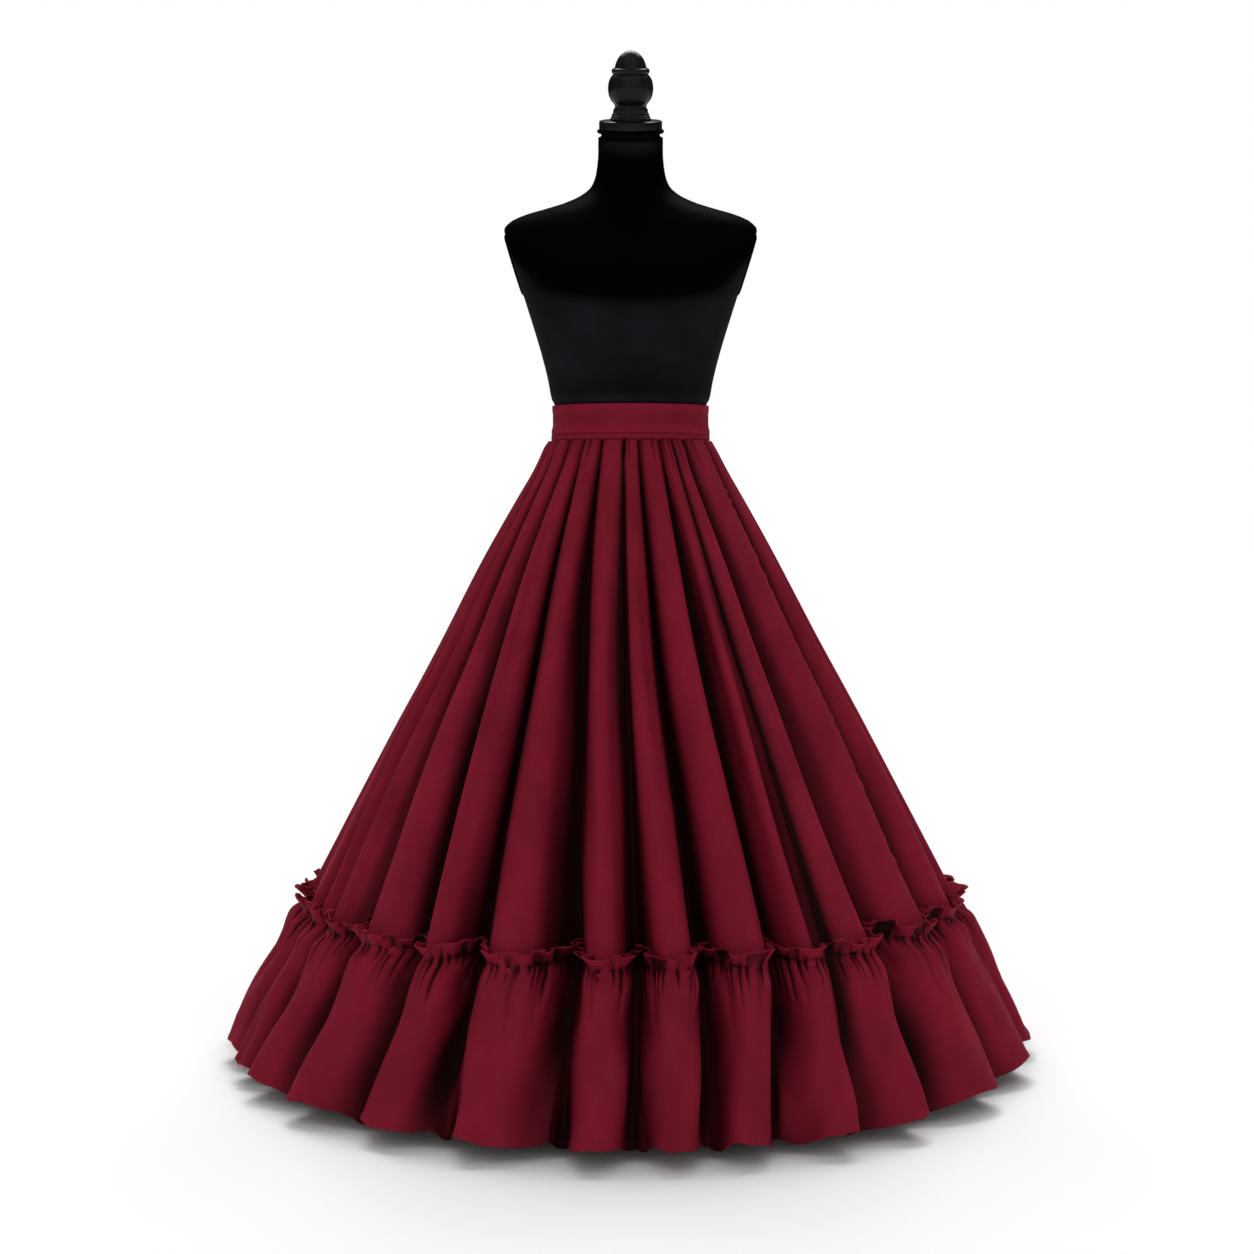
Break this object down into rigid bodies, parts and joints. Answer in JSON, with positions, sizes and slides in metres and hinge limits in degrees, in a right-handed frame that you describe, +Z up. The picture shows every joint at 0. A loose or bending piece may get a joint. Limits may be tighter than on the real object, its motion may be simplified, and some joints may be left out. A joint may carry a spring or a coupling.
{
  "type": "circle skirt on dress form",
  "caption": "Long very full gathered skirt with a gathered hem flounce and a plain waistband, worn by a limbless black dress form with a turned finial, pole and round base.",
  "frame": {"origin": "on the floor, at the middle of the stand's round base", "axes": "+Z up; the skirt's front faces -Y; +X is to the right of someone looking at the front"},
  "size_m": [1.2442, 1.2381, 1.533],
  "materials": {
    "burgundy_cotton": "woven cotton twill, soft low sheen",
    "black_velvet": "short stretch velvet",
    "black_lacquer": "gloss black paint on turned wood",
    "black_steel": "satin black",
    "burgundy_button": "polished"
  },
  "bodies": {
    "root": {"gore_front": "burgundy_cotton", "gore_left": "burgundy_cotton", "gore_back": "burgundy_cotton", "gore_right": "burgundy_cotton", "flounce_front": "burgundy_cotton", "flounce_left": "burgundy_cotton", "flounce_back": "burgundy_cotton", "flounce_right": "burgundy_cotton", "waistband": "burgundy_cotton", "waist_tape": "burgundy_cotton", "waist_button": "burgundy_button", "form_torso": "black_velvet", "form_arm_left": "black_velvet", "form_arm_right": "black_velvet", "form_neck_roll": "black_velvet", "form_neck_cap": "black_lacquer", "form_finial": "black_lacquer", "form_flange": "black_steel", "stand_pole": "black_steel", "stand_socket": "black_steel", "stand_base": "black_steel"}
  },
  "joints": []
}
